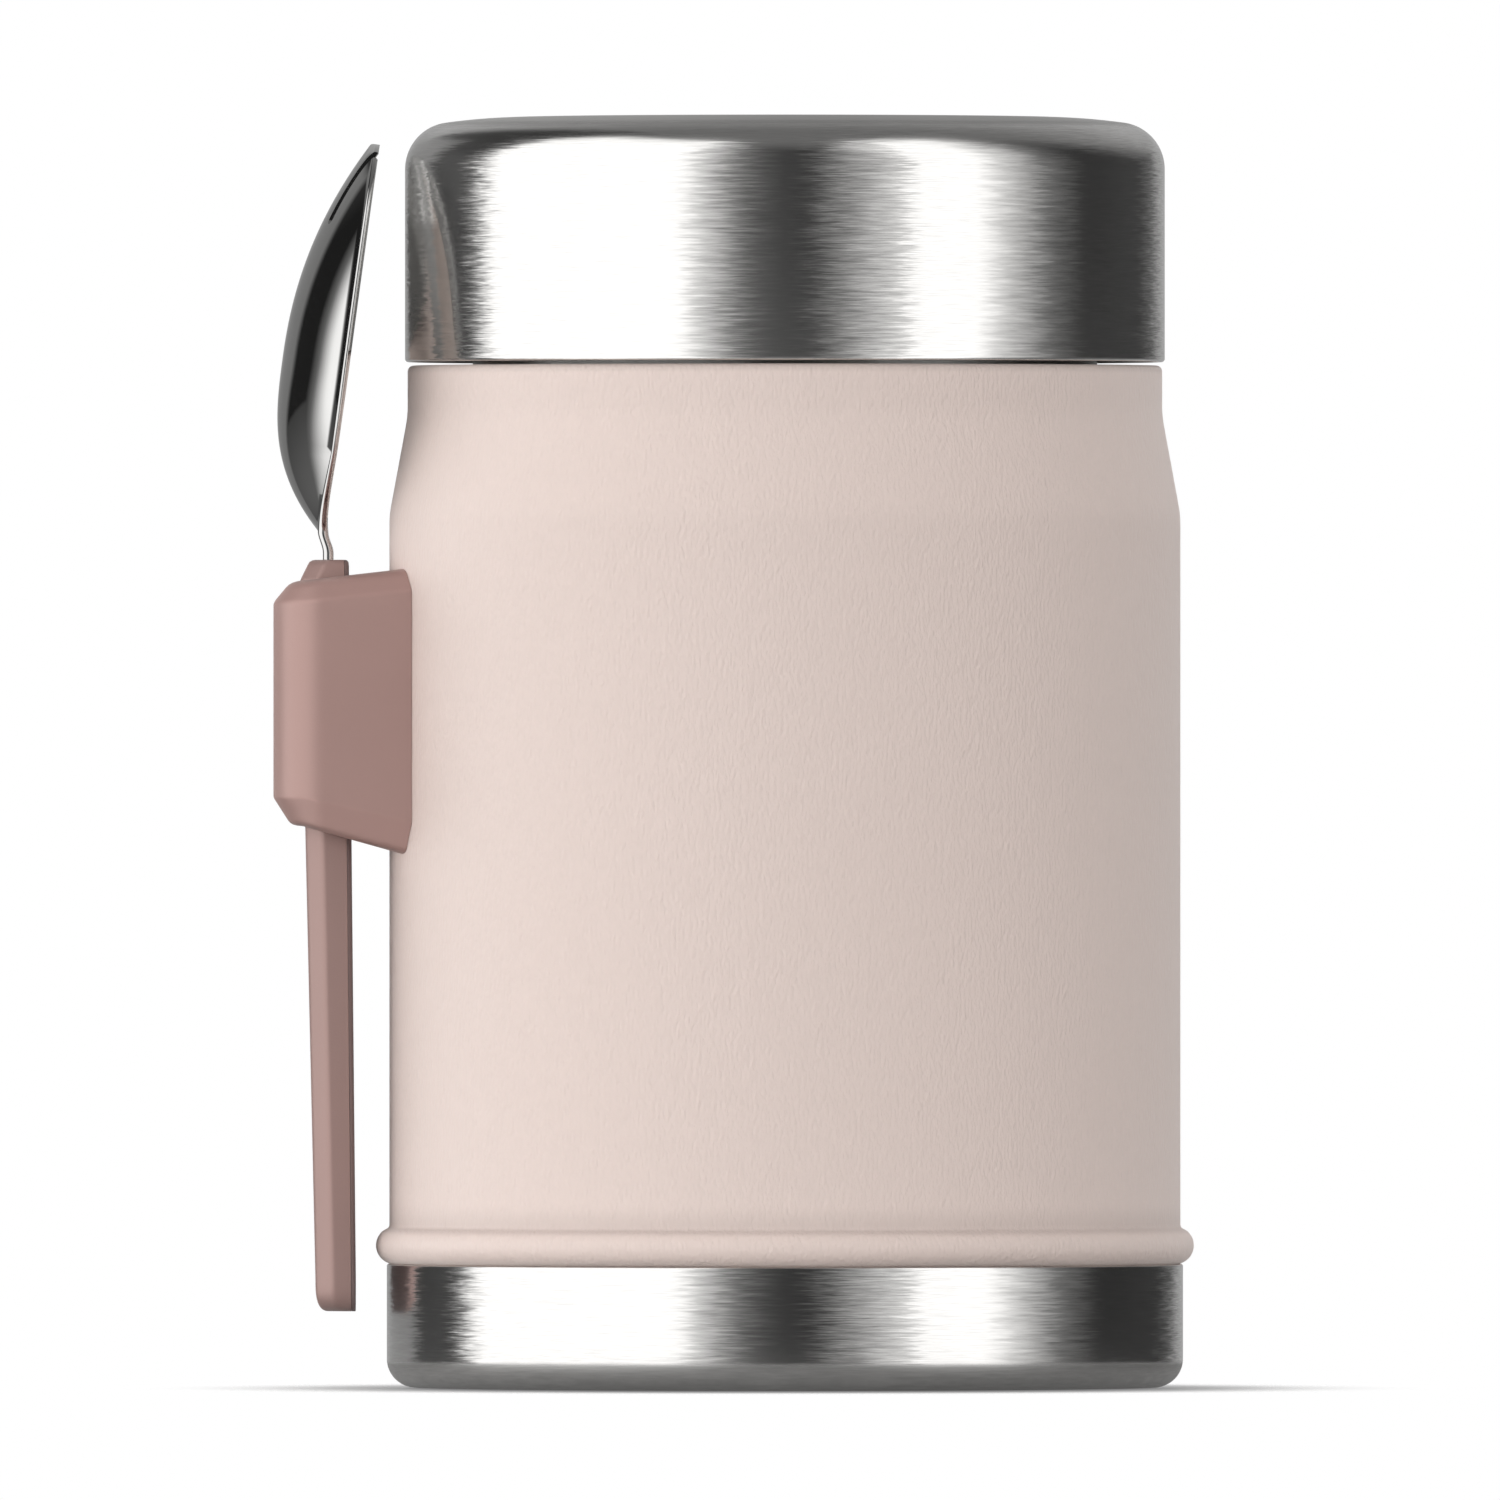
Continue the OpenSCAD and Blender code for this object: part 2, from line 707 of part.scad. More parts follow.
module spoon_handle() {
  tang_low = handle_top - tang_l;
  color("rosybrown")
    difference() {
      handle_form();
      behind_parting(0);
      translate([tang_x - blade_t - seat_gap, -tang_w / 2 - seat_gap, tang_low - seat_gap])
        cube([blade_t + 2 * seat_gap, tang_w + 2 * seat_gap, 2 * tang_l]);
    }
}

module handle_back() {
  color("rosybrown")
    intersection() {
      handle_form();
      behind_parting(seat_gap);
    }
}

outer_shell();
neck_ring();
inner_vessel();
vacuum_plate();
heat_foil();
getter();
port_seal();
base_cup();
holder_rail();
spoon_holder();
lid_seal();
lid_shell();
lid_liner();
lid_foam();
spoon_blade();
spoon_handle();
handle_back();
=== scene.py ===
"""Looks of an insulated food jar: steel lid and base cup, powder-coated wall, spork in its holder.

Lengths are millimetres in the jar's own frame, with the axis along Z and the table at zero, and
become metres where a mesh is made. The spork stands on the -X side.
"""

import math

import bmesh
import bpy
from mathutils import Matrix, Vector


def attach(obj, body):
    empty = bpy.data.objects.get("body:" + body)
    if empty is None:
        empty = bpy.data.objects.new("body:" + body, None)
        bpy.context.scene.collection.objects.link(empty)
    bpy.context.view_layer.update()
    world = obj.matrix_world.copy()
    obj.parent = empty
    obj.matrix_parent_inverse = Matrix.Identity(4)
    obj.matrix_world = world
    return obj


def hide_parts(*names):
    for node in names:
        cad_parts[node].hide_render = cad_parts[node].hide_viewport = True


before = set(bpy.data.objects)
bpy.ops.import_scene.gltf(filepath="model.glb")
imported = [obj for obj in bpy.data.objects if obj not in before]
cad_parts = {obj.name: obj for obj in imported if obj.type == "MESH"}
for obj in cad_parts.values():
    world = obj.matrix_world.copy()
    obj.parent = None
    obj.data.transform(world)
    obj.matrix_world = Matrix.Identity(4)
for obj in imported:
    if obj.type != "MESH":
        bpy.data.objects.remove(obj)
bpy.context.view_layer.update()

MM = 0.001
# faces round a turned piece
TURN_STEPS = 256

# ---------- driving sizes: those of the CAD source, some of them fitted closer to the photograph ----------

# the jar
BODY_R = 45.6
BAND_R = 43.5
BODY_H = 117.8
BAND_H = 4
SHOULDER_H = 13.6
SHOULDER_R = 12
TOP_EDGE_R = 0.7
WALL_T = 0.6
NECK_R = 36
BEAD_OUT = 1.55
BEAD_H = 4.15
BEAD_GROOVE = 0.05
BEAD_FILLET = 0.7
BASE_R = 45.9
BASE_H = 14.25
BASE_EDGE_R = 3.3
BASE_T = 0.5
FOOT_W = 5.5
FOOT_RECESS = 1.6
FOOT_EASE = 0.8
SEAT_GAP = 0.05
# the skirt ends this much below the bead
SKIRT_STEP = 0.01

# the lid
LID_R = 43.8
LID_LOW = 118.2
LID_TOP = 146.45
LID_EDGE_R = 5.4
LID_T = 0.5
CROWN_H = 0.65
CROWN_W = 9.5
HEM_W = 1.3
HEM_R = 0.4
# the edge's rounding ends with the crown's first point, so that much of the crown's arc is left to draw
CROWN_LEFT = 0.9

# the spork
BOWL_L = 45.1
BOWL_W = 31.6
BOWL_DEPTH = 6.7
BOWL_LEAN = math.radians(7.6)
BLADE_T = 1.2
RIM_T = 0.55
TIP_T = 1
# exponents of the bowl's cross-section, of its outline and depth below and above its widest place, and
# of the blade's thickness from its middle to its rim
BOWL_SECTION = 1.95
HEEL_OUTLINE, TOE_OUTLINE = 1.25, 2.6
HEEL_DEPTH, TOE_DEPTH = 3, 2.15
RIM_THINNING = 3
# where the bowl is widest and from where its rim is thin, as shares of its length, and the exponent
# by which the rim thins until there
WIDEST = 0.43
RIM_THIN_FROM = 0.2
RIM_FADE = 0.7
# the blade's rings follow a quarter turn toward the tip up to this angle, so that the last isn't a point
TOE_END = 86.5
TANG_W = 8
TANG_L = 38
TANG_CHAMFER = 1
NECK_L = 3.2
NECK_STEP = 0.6
SLOTS = 3
SLOT_L = 9.2
SLOT_W = 1.4
# the share of the bowl's width over which the slots are spread
SLOT_SPREAD = 0.7
HANDLE_LOW = 8.8
HANDLE_TOP = 95.4
HEAD_Z = 93.0
HANDLE_IN_X = -50.3
HANDLE_OUT_X = -55.9
END_IN_X = -49.5
END_OUT_X = -54.1
HANDLE_HALF = 8
END_HALF = 7
HANDLE_CUT = 1.9
HANDLE_IN_R = 0.7
END_ROUND = 3.6
# how much the handle's lower end narrows at its sides and its outer face, each with its exponent
END_SIDES = (3.42, 1.2)
END_FACE = (1.4, 1.4)
# the head's edge: how far below its top, and how far in from the outer face, the inner face and the sides
HEAD_EDGE = [
    (2.8, 0, 0, 0), (2.4, 0.05, 0, 0.07), (2, 0.22, 0, 0.28), (0.7, 0.85, 0, 1.05), (0.25, 1.1, 0.05, 1.3),
    (0.05, 1.45, 0.2, 1.6), (0, 1.8, 0.4, 1.9),
]
BACK_T = 0.45
# how far the tang lies from the handle's inner face
TANG_SET = 1.75
TANG_X = HANDLE_IN_X - TANG_SET

# the holder
HOLDER_X = -58.9
HOLDER_HALF = 15.5
HOLDER_EDGE_R = 6
HOLDER_HIGH = 90.4
HOLDER_LOW = 68.1
HOLDER_INSET = 3.4
# height of the chamfers between the end face and the top, and between the end face and the underside
TOP_CHAMFER_H = 2.6
LOW_CHAMFER_H = 1.3 * TOP_CHAMFER_H
# inside the wall, which is cut from the holder
HOLDER_IN_X = -0.9 * BODY_R
SHARP_R = 0.01
POCKET_R = 0.05
RAIL_W = 19
RAIL_H = 18
RAIL_T = 1.4
RAIL_SUNK = 2
SLIDE_GAP = 0.3

# how far a cutting block reaches past what it cuts, and the tops of those that leave it open upward:
# above the handle, and along the bowl past its tip
SPARE = 20
CUT_TOP = 120
SLOT_TOP = 60
# where the blocks that cut the slots begin and end, in front of and behind the blade
SLOT_CUT = (-8, 20)

# ---------- the camera ----------

VIEW_W = 172.95
VIEW_CENTRE = (-4.025, 73.485)
LENS = 1500
SENSOR = 36
# in metres
CLIP_END = 40


def make_camera():
    """A very long lens, square to the jar from the front, as in the photograph."""
    data = bpy.data.cameras.new("camera")
    data.sensor_width = SENSOR
    data.lens = LENS
    data.clip_end = CLIP_END
    camera = bpy.data.objects.new("camera", data)
    distance = VIEW_W * LENS / SENSOR
    camera.location = Vector((VIEW_CENTRE[0], -distance, VIEW_CENTRE[1])) * MM
    camera.rotation_euler = (math.radians(90), 0, 0)
    bpy.context.scene.collection.objects.link(camera)
    bpy.context.scene.camera = camera


make_camera()
bpy.context.scene.view_settings.view_transform = "Standard"

# ---------- paths ----------


def arc(x, z, r, start, end, steps=16):
    """Points of an arc in a plane, with its angles in degrees."""
    points = []
    for i in range(steps + 1):
        a = math.radians(start + (end - start) * i / steps)
        points.append((x + r * math.cos(a), z + r * math.sin(a)))
    return points


def shoulder(low, high, r):
    """Two opposite arcs and their common tangent, from a wide radius up to a narrow one."""
    shift = low[0] - high[0]
    rise = high[1] - low[1]
    reach = 2 * r - shift
    lean = math.degrees(math.asin(2 * r / math.hypot(rise, reach)) - math.atan2(reach, rise))
    return arc(low[0] - r, low[1], r, 0, lean) + arc(high[0] + r, high[1], r, 180 + lean, 180)


def eased(before, corner, after, reach, steps=6):
    """A corner replaced by a soft curve that starts and ends a reach away from it."""
    ends = []
    for p in (before, after):
        share = reach / math.dist(p, corner)
        ends.append([c + (q - c) * share for c, q in zip(corner, p)])
    curve = []
    for i in range(steps + 1):
        t = i / steps
        a, b, c = (1 - t) ** 2, 2 * t * (1 - t), t * t
        curve.append(tuple(a * s + b * m + c * e for s, m, e in zip(ends[0], corner, ends[1])))
    return curve


def beside(path, t):
    """A path moved to its left by t, with mitred corners; points on the axis stay there."""
    moved = []
    for i, (x, z) in enumerate(path):
        sides = []
        for a, b in ((i - 1, i), (i, i + 1)):
            if a >= 0 and b < len(path):
                dx, dz = path[b][0] - path[a][0], path[b][1] - path[a][1]
                length = math.hypot(dx, dz)
                sides.append((-dz / length, dx / length))
        if x == 0:
            moved.append((0, z + t * sides[0][1]))
            continue
        mx, mz = sum(s[0] for s in sides), sum(s[1] for s in sides)
        size = math.hypot(mx, mz)
        mx, mz = mx / size, mz / size
        share = t / (mx * sides[0][0] + mz * sides[0][1])
        moved.append((x + mx * share, z + mz * share))
    return moved


def sheet(path, t):
    """Closed outline of a bent sheet of even thickness, with its material left of the path."""
    return path + beside(path, t)[::-1]


# ---------- meshes ----------


def piece(name, mesh, finish, body, nodes, sharp=30):
    """Makes an object of a mesh that is in millimetres, and ties it to the frame."""
    if isinstance(mesh, bmesh.types.BMesh):
        bm, mesh = mesh, bpy.data.meshes.new(name)
        bmesh.ops.recalc_face_normals(bm, faces=bm.faces)
        bm.to_mesh(mesh)
        bm.free()
    mesh.transform(((MM, 0, 0, 0), (0, MM, 0, 0), (0, 0, MM, 0), (0, 0, 0, 1)))
    mesh.shade_smooth()
    mesh.set_sharp_from_angle(angle=math.radians(sharp))
    mesh.materials.clear()
    mesh.materials.append(finish)
    made = bpy.data.objects.new(name, mesh)
    bpy.context.scene.collection.objects.link(made)
    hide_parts(*nodes)
    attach(made, body)


def turned(outline):
    """A closed outline turned about the axis."""
    bm = bmesh.new()
    rings = []
    for x, z in outline:
        count = 1 if x == 0 else TURN_STEPS
        ring = []
        for k in range(count):
            a = 2 * math.pi * k / TURN_STEPS
            ring.append(bm.verts.new((x * math.cos(a), x * math.sin(a), z)))
        rings.append(ring)
    for i, low in enumerate(rings):
        high = rings[(i + 1) % len(rings)]
        if len(low) == 1 and len(high) == 1:
            continue
        for k in range(TURN_STEPS):
            m = (k + 1) % TURN_STEPS
            corners = [low[k % len(low)], low[m % len(low)], high[m % len(high)], high[k % len(high)]]
            bm.faces.new(list(dict.fromkeys(corners)))
    return bm


def lofted(rings):
    """A closed skin over equal rings of points, with flat ends."""
    bm = bmesh.new()
    made = [[bm.verts.new(p) for p in ring] for ring in rings]
    for low, high in zip(made, made[1:]):
        for k in range(len(low)):
            m = (k + 1) % len(low)
            bm.faces.new((low[k], low[m], high[m], high[k]))
    bm.faces.new(made[0][::-1])
    bm.faces.new(made[-1])
    return bm


def prism(outline, low, high):
    """A plan outline drawn straight up from one height to another."""
    return lofted([[(x, y, z) for x, y in outline] for z in (low, high)])


def cut(bm, cutters, operation="DIFFERENCE"):
    """A mesh less some others, or with INTERSECT what it shares with them, all given as bmeshes."""
    objects = []
    for form in [bm, *cutters]:
        mesh = bpy.data.meshes.new("cut")
        bmesh.ops.recalc_face_normals(form, faces=form.faces)
        form.to_mesh(mesh)
        form.free()
        made = bpy.data.objects.new("cut", mesh)
        bpy.context.scene.collection.objects.link(made)
        objects.append(made)
    base = objects[0]
    for cutter in objects[1:]:
        boolean = base.modifiers.new("cut", "BOOLEAN")
        boolean.operation = operation
        boolean.solver = "EXACT"
        boolean.object = cutter
    bpy.context.view_layer.update()
    result = bpy.data.meshes.new_from_object(base.evaluated_get(bpy.context.evaluated_depsgraph_get()))
    for made in objects:
        bpy.data.objects.remove(made)
    return result


def rounded(out_x, in_x, half, out_r, in_r, steps=12):
    """Plan outline of a bar across Y: large corners on its outer side, small ones on its inner side."""
    return (
        arc(out_x + out_r, -half + out_r, out_r, 180, 270, steps)
        + arc(in_x - in_r, -half + in_r, in_r, 270, 360, steps)
        + arc(in_x - in_r, half - in_r, in_r, 0, 90, steps)
        + arc(out_x + out_r, half - out_r, out_r, 90, 180, steps)
    )


def bevelled(out_x, in_x, half, bevel, in_r, steps=6):
    """Plan outline of a bar across Y: flat bevels on its outer side, small roundings on its inner side."""
    corners = [
        (in_x, half), (out_x + bevel, half), (out_x, half - bevel),
        (out_x, bevel - half), (out_x + bevel, -half), (in_x, -half),
    ]
    softened = min(0.5, half / 8)
    outline = []
    for before, corner, after in zip(corners, corners[1:], corners[2:]):
        outline += eased(before, corner, after, softened, steps)
    outline += arc(in_x - in_r, in_r - half, in_r, 270, 360, steps)
    outline += arc(in_x - in_r, half - in_r, in_r, 0, 90, steps)
    return outline


# ---------- finishes ----------

# most values of a noise pattern lie between these
NOISE_EDGES = (0.25, 0.75)
# how strongly brushing draws reflections out, and in which direction, as a share of a full turn
BRUSH_STRETCH = 0.6
BRUSH_TURN = 0.25


class Finish:
    """A material that is being made: its nodes, its shader and short calls to add to them."""

    def __init__(self, name, colour, roughness, **sockets):
        self.material = bpy.data.materials.new(name)
        self.material.use_nodes = True
        self.tree = self.material.node_tree
        self.shader = self.tree.nodes["Principled BSDF"]
        self.colour = (*colour, 1)
        self.shader.inputs["Base Color"].default_value = self.colour
        self.shader.inputs["Roughness"].default_value = roughness
        for label, value in sockets.items():
            self.shader.inputs[label.replace("_", " ")].default_value = value
        self.place = self.node("ShaderNodeTexCoord").outputs["Object"]

    def node(self, kind, **settings):
        made = self.tree.nodes.new(kind)
        for label, value in settings.items():
            setattr(made, label, value)
        return made

    def put(self, value, socket):
        """Links an output to a socket, or writes a plain value to it."""
        if isinstance(value, bpy.types.NodeSocket):
            self.tree.links.new(value, socket)
        else:
            socket.default_value = value

    def math(self, operation, *values):
        made = self.node("ShaderNodeMath", operation=operation)
        for value, socket in zip(values, made.inputs):
            self.put(value, socket)
        return made.outputs[0]

    def vector(self, operation, *values):
        made = self.node("ShaderNodeVectorMath", operation=operation)
        for value, socket in zip(values, made.inputs):
            self.put(value, socket)
        return made.outputs[0]

    def noise(self, size, detail=2, place=None, stretch=(1, 1, 1), roughness=0.5):
        """Noise with features of about that size in millimetres, stretched along the axes."""
        scaled = self.vector("MULTIPLY", place or self.place, tuple(1 / (size * MM * s) for s in stretch))
        made = self.node("ShaderNodeTexNoise")
        made.inputs["Scale"].default_value = 1
        made.inputs["Detail"].default_value = detail
        made.inputs["Roughness"].default_value = roughness
        self.put(scaled, made.inputs["Vector"])
        return made.outputs["Fac"]

    def cells(self, size, feature="F1"):
        """Distances in a pattern of cells of about that size in millimetres."""
        made = self.node("ShaderNodeTexVoronoi", feature=feature)
        made.inputs["Scale"].default_value = 1 / (size * MM)
        self.put(self.place, made.inputs["Vector"])
        return made.outputs["Distance"]

    def span(self, value, low, high, ease=False, edges=(0, 1)):
        """Maps a value from its edges to low and high."""
        made = self.node("ShaderNodeMapRange")
        made.interpolation_type = "SMOOTHSTEP" if ease else "LINEAR"
        for source, socket in zip((value, *edges, low, high), made.inputs):
            self.put(source, socket)
        return made.outputs[0]

    def height(self, low, high):
        """Share from 0 to 1 between two heights in millimetres."""
        split = self.node("ShaderNodeSeparateXYZ")
        self.put(self.place, split.inputs[0])
        return self.span(split.outputs["Z"], 0, 1, True, (low * MM, high * MM))

    def tones(self, share, darker, lighter, dimmer=1):
        """Colour that varies about the base colour, from one factor to another, all times the dimmer."""
        factor = self.math("MULTIPLY", self.span(share, darker, lighter, edges=NOISE_EDGES), dimmer)
        scaled = self.node("ShaderNodeVectorMath", operation="SCALE")
        self.put(self.colour[:3], scaled.inputs[0])
        self.put(factor, scaled.inputs["Scale"])
        self.put(scaled.outputs[0], self.shader.inputs["Base Color"])

    def rough(self, share, low, high):
        self.put(self.span(share, low, high, edges=NOISE_EDGES), self.shader.inputs["Roughness"])

    def bump(self, *heights):
        """Relief from pairs of a pattern and its height in millimetres."""
        normal = None
        for pattern, height in heights:
            made = self.node("ShaderNodeBump")
            made.inputs["Strength"].default_value = 1
            made.inputs["Distance"].default_value = height * MM
            self.put(pattern, made.inputs["Height"])
            if normal:
                self.put(normal, made.inputs["Normal"])
            normal = made.outputs[0]
        self.put(normal, self.shader.inputs["Normal"])

    def round_place(self):
        """A place for patterns round the axis: the direction from the axis, and the run along the surface."""
        flat = self.vector("MULTIPLY", self.place, (1, 1, 0))
        direction = self.vector("NORMALIZE", flat)
        radius = self.node("ShaderNodeVectorMath", operation="LENGTH")
        self.put(flat, radius.inputs[0])
        split = self.node("ShaderNodeSeparateXYZ")
        self.put(self.place, split.inputs[0])
        run = self.math("SUBTRACT", split.outputs["Z"], radius.outputs["Value"])
        joined = self.node("ShaderNodeCombineXYZ")
        self.put(run, joined.inputs["Z"])
        return self.vector("ADD", self.vector("MULTIPLY", direction, (MM, MM, 0)), joined.outputs[0])

    def streaks(self, thickness, turn):
        """Noise drawn out round the axis: lines that thick in millimetres, that many of them in a radian."""
        long = 1 / (turn * thickness)
        return self.noise(thickness, 3, self.round_place(), (long, long, 1), roughness=0.6)

    def brush(self, lines, sway):
        """Turns the surface's normal to and fro along the brushing, so that reflections get ragged edges."""
        tangent = self.node("ShaderNodeTangent", direction_type="RADIAL", axis="Z").outputs[0]
        normal = self.node("ShaderNodeNewGeometry").outputs["Normal"]
        scaled = self.node("ShaderNodeVectorMath", operation="SCALE")
        self.put(tangent, scaled.inputs[0])
        self.put(self.math("MULTIPLY", self.span(lines, -1, 1), sway), scaled.inputs["Scale"])
        tilted = self.vector("NORMALIZE", self.vector("ADD", normal, scaled.outputs[0]))
        self.put(tilted, self.shader.inputs["Normal"])
        self.put(tangent, self.shader.inputs["Tangent"])
        self.shader.inputs["Anisotropic"].default_value = BRUSH_STRETCH
        self.shader.inputs["Anisotropic Rotation"].default_value = BRUSH_TURN


# painted shade in the paint's colour, in the crease above the bead and under the lid's overhang: the heights
# over which it sets in and fades, from the bead's top and from the wall's top under the lid, and how much of
# the colour it takes
BEAD_PAINTED_SHADE_IN = (-0.9, -0.1)
BEAD_PAINTED_SHADE_OUT = (0, 3.2)
BEAD_PAINTED_SHADE = 0.16
LID_PAINTED_SHADE_IN = (-1.1, -0.1)
LID_PAINTED_SHADE = 0.24
# half the height over which brushed steel turns dull
BRUSH_FADE = 0.35
# the lid's brushing ends this far below its crown, and the base cup's starts this far below the end
# of its rounding; beyond these the steel is dull, with painted shade in its colour
LID_DULL = 0.45
BASE_BRUSHED = 0.4


def powder_coat():
    """Matt paint with a fine pebbled skin, and painted shade that darkens it just above the bead and under
    the lid.
    """
    f = Finish("powder_coat", (0.74, 0.614, 0.563), 0.55, Sheen_Weight=0.15, Sheen_Roughness=0.35)
    pebbles = f.noise(0.4, 2, stretch=(1, 1, 2.4), roughness=0.45)
    fine = f.noise(0.18, 1)
    patches = f.noise(2.2, 2)
    # painted shade: the colour is dimmed in the crease above the bead and under the lid's overhang
    bead_top = BASE_H + BEAD_GROOVE + BEAD_H
    edges = [f.height(bead_top + low, bead_top + high) for low, high in (BEAD_PAINTED_SHADE_IN, BEAD_PAINTED_SHADE_OUT)]
    above_bead = f.math("SUBTRACT", *edges)
    under_lid = f.height(BODY_H + LID_PAINTED_SHADE_IN[0], BODY_H + LID_PAINTED_SHADE_IN[1])
    shade = f.math("MULTIPLY_ADD", above_bead, -BEAD_PAINTED_SHADE, f.math("MULTIPLY_ADD", under_lid, -LID_PAINTED_SHADE, 1))
    f.tones(f.math("MULTIPLY_ADD", pebbles, 0.6, f.math("MULTIPLY", patches, 0.4)), 0.975, 1.02, shade)
    f.rough(pebbles, 0.5, 0.62)
    f.bump((patches, 0.08), (pebbles, 0.16), (fine, 0.008))
    return f.material


def brushed_steel(name, brushed_from, brushed_to):
    """Steel brushed round the axis between two heights, and left dull, plain and darker beyond them; the
    darker colour there is painted shade.
    """
    f = Finish(name, (0.74, 0.73, 0.715), 0.12, Metallic=1)
    edges = [f.height(edge - BRUSH_FADE, edge + BRUSH_FADE) for edge in (brushed_from, brushed_to)]
    bright = f.math("SUBTRACT", *edges)
    coarse = f.streaks(0.3, 8)
    fine = f.streaks(0.11, 14)
    lines = f.math("MULTIPLY_ADD", coarse, 0.5, f.math("MULTIPLY", fine, 0.5))
    # each span goes from the dull parts to the brushed ones
    # painted shade: the dull parts' colour is dimmed to 0.66 for the darker reflections on the lid's top and
    # the base's lower rounding; their higher roughness is the finish
    f.tones(fine, 0.83, 1.09, f.span(bright, 0.66, 1))
    f.rough(coarse, f.span(bright, 0.4, 0.15), f.span(bright, 0.46, 0.2))
    f.brush(lines, f.span(bright, 0.01, 0.15))
    return f.material


def inner_steel():
    """Satin steel of the vessel and the neck."""
    f = Finish("inner_steel", (0.66, 0.655, 0.64), 0.3, Metallic=1)
    lines = f.streaks(0.3, 5)
    f.tones(lines, 0.93, 1.04)
    f.rough(f.noise(9, 3), 0.26, 0.36)
    f.brush(lines, 0.07)
    return f.material


def polished_steel():
    """Mirror-polished steel with a faint haze and hairline marks along its length."""
    f = Finish("polished_steel", (0.6, 0.595, 0.585), 0.05, Metallic=1)
    marks = f.noise(0.25, 2, stretch=(1, 1, 30))
    f.tones(f.noise(6, 2), 0.97, 1.02)
    f.rough(f.noise(3, 3), 0.016, 0.035)
    f.bump((marks, 0.0004))
    return f.material


def moulded_plastic(name, colour, roughness=0.36, **sockets):
    """Matt moulded plastic with a spark-eroded grain."""
    f = Finish(name, colour, roughness, **sockets)
    grain = f.noise(0.28, 2, roughness=0.6)
    f.tones(f.noise(14, 2), 0.975, 1.02)
    f.rough(grain, roughness - 0.05, roughness + 0.08)
    f.bump((grain, 0.014), (f.noise(9, 1), 0.03))
    return f.material


def silicone():
    """Matt rubber with a faint grain."""
    f = Finish("silicone", (0.8, 0.8, 0.78), 0.62)
    f.tones(f.noise(3, 3), 0.95, 1.02)
    f.bump((f.noise(0.4, 2), 0.01))
    return f.material


def foil():
    """Thin metal foil with creases."""
    f = Finish("foil", (0.8, 0.62, 0.45), 0.25, Metallic=1)
    f.tones(f.noise(5, 2), 0.9, 1.03)
    f.rough(f.noise(2, 2), 0.2, 0.34)
    f.bump((f.cells(7, "DISTANCE_TO_EDGE"), 0.25), (f.noise(3, 2), 0.1))
    return f.material


def sintered_metal():
    """Pressed metal grains."""
    f = Finish("sintered_metal", (0.3, 0.3, 0.3), 0.6, Metallic=1)
    grains = f.cells(0.3)
    f.tones(grains, 0.85, 1.1)
    f.bump((grains, 0.04))
    return f.material


def rigid_foam():
    """Closed cells, as on a moulded foam part."""
    f = Finish("rigid_foam", (0.84, 0.82, 0.72), 0.85)
    walls = f.cells(0.7, "DISTANCE_TO_EDGE")
    f.tones(walls, 0.92, 1.04)
    f.bump((walls, 0.12), (f.noise(4, 2), 0.2))
    return f.material


LID_STEEL = brushed_steel("lid_steel", 0, LID_TOP - CROWN_H - LID_DULL)
BASE_STEEL = brushed_steel("base_steel", BASE_EDGE_R - BASE_BRUSHED, LID_TOP)
INNER = inner_steel()
COAT = powder_coat()
POLISHED = polished_steel()
GLOSS = {"IOR": 1.65, "Specular_IOR_Level": 1, "Specular_Tint": (1, 0.72, 0.66, 1)}
HOLDER_PLASTIC = moulded_plastic("holder_plastic", (0.365, 0.229, 0.206), **GLOSS)
HANDLE_PLASTIC = moulded_plastic("handle_plastic", (0.3, 0.196, 0.178), **GLOSS)
# painted shade: the back cover is a real part, but its darker colour stands for the shade along the handle's
# rear edge
BACK_PLASTIC = moulded_plastic("back_plastic", (0.2, 0.14, 0.135), 0.55)
LINER_PLASTIC = moulded_plastic("liner_plastic", (0.76, 0.76, 0.74), 0.38)
SINTERED = sintered_metal()

NODE_FINISHES = {
    "neck_ring": INNER,
    "inner_vessel": INNER,
    "vacuum_plate": INNER,
    "holder_rail": INNER,
    "heat_foil": foil(),
    "getter": SINTERED,
    "port_seal": SINTERED,
    "lid_seal": silicone(),
    "lid_liner": LINER_PLASTIC,
    "lid_foam": rigid_foam(),
}


def finish_nodes():
    """Gives the CAD nodes that keep their own meshes a material."""
    for name, finish in NODE_FINISHES.items():
        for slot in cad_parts[name].material_slots:
            slot.material = finish


# ---------- the jar ----------


def make_wall():
    """Painted wall: skirt, rolled bead, straight wall, shoulder, band and turned-in top."""
    skirt_r = BASE_R - BASE_T - SEAT_GAP
    bead_low = BASE_H + BEAD_GROOVE
    bead_r = ((BEAD_H / 2) ** 2 + BEAD_OUT**2) / (2 * BEAD_OUT)
    bead_angle = math.degrees(math.asin(BEAD_H / 2 / bead_r))
    bead = arc(BODY_R + BEAD_OUT - bead_r, bead_low + BEAD_H / 2, bead_r, -bead_angle, bead_angle, steps=40)
    band_low = BODY_H - TOP_EDGE_R - BAND_H
    slope = shoulder((BODY_R, band_low - SHOULDER_H), (BAND_R, band_low), SHOULDER_R)
    clear = [p for p in bead if p[1] < bead[-1][1] - BEAD_FILLET / 2]
    path = [(skirt_r, BASE_EDGE_R + SEAT_GAP), (skirt_r, bead_low - SKIRT_STEP)]
    path += clear
    path += eased(clear[-1], bead[-1], slope[0], BEAD_FILLET / 2)[1:]
    path += slope
    path += arc(BAND_R - TOP_EDGE_R, BODY_H - TOP_EDGE_R, TOP_EDGE_R, 0, 90)
    path += [(NECK_R + SEAT_GAP, BODY_H)]
    piece("wall_skin", turned(sheet(path, WALL_T)), COAT, "jar", ["outer_shell"])


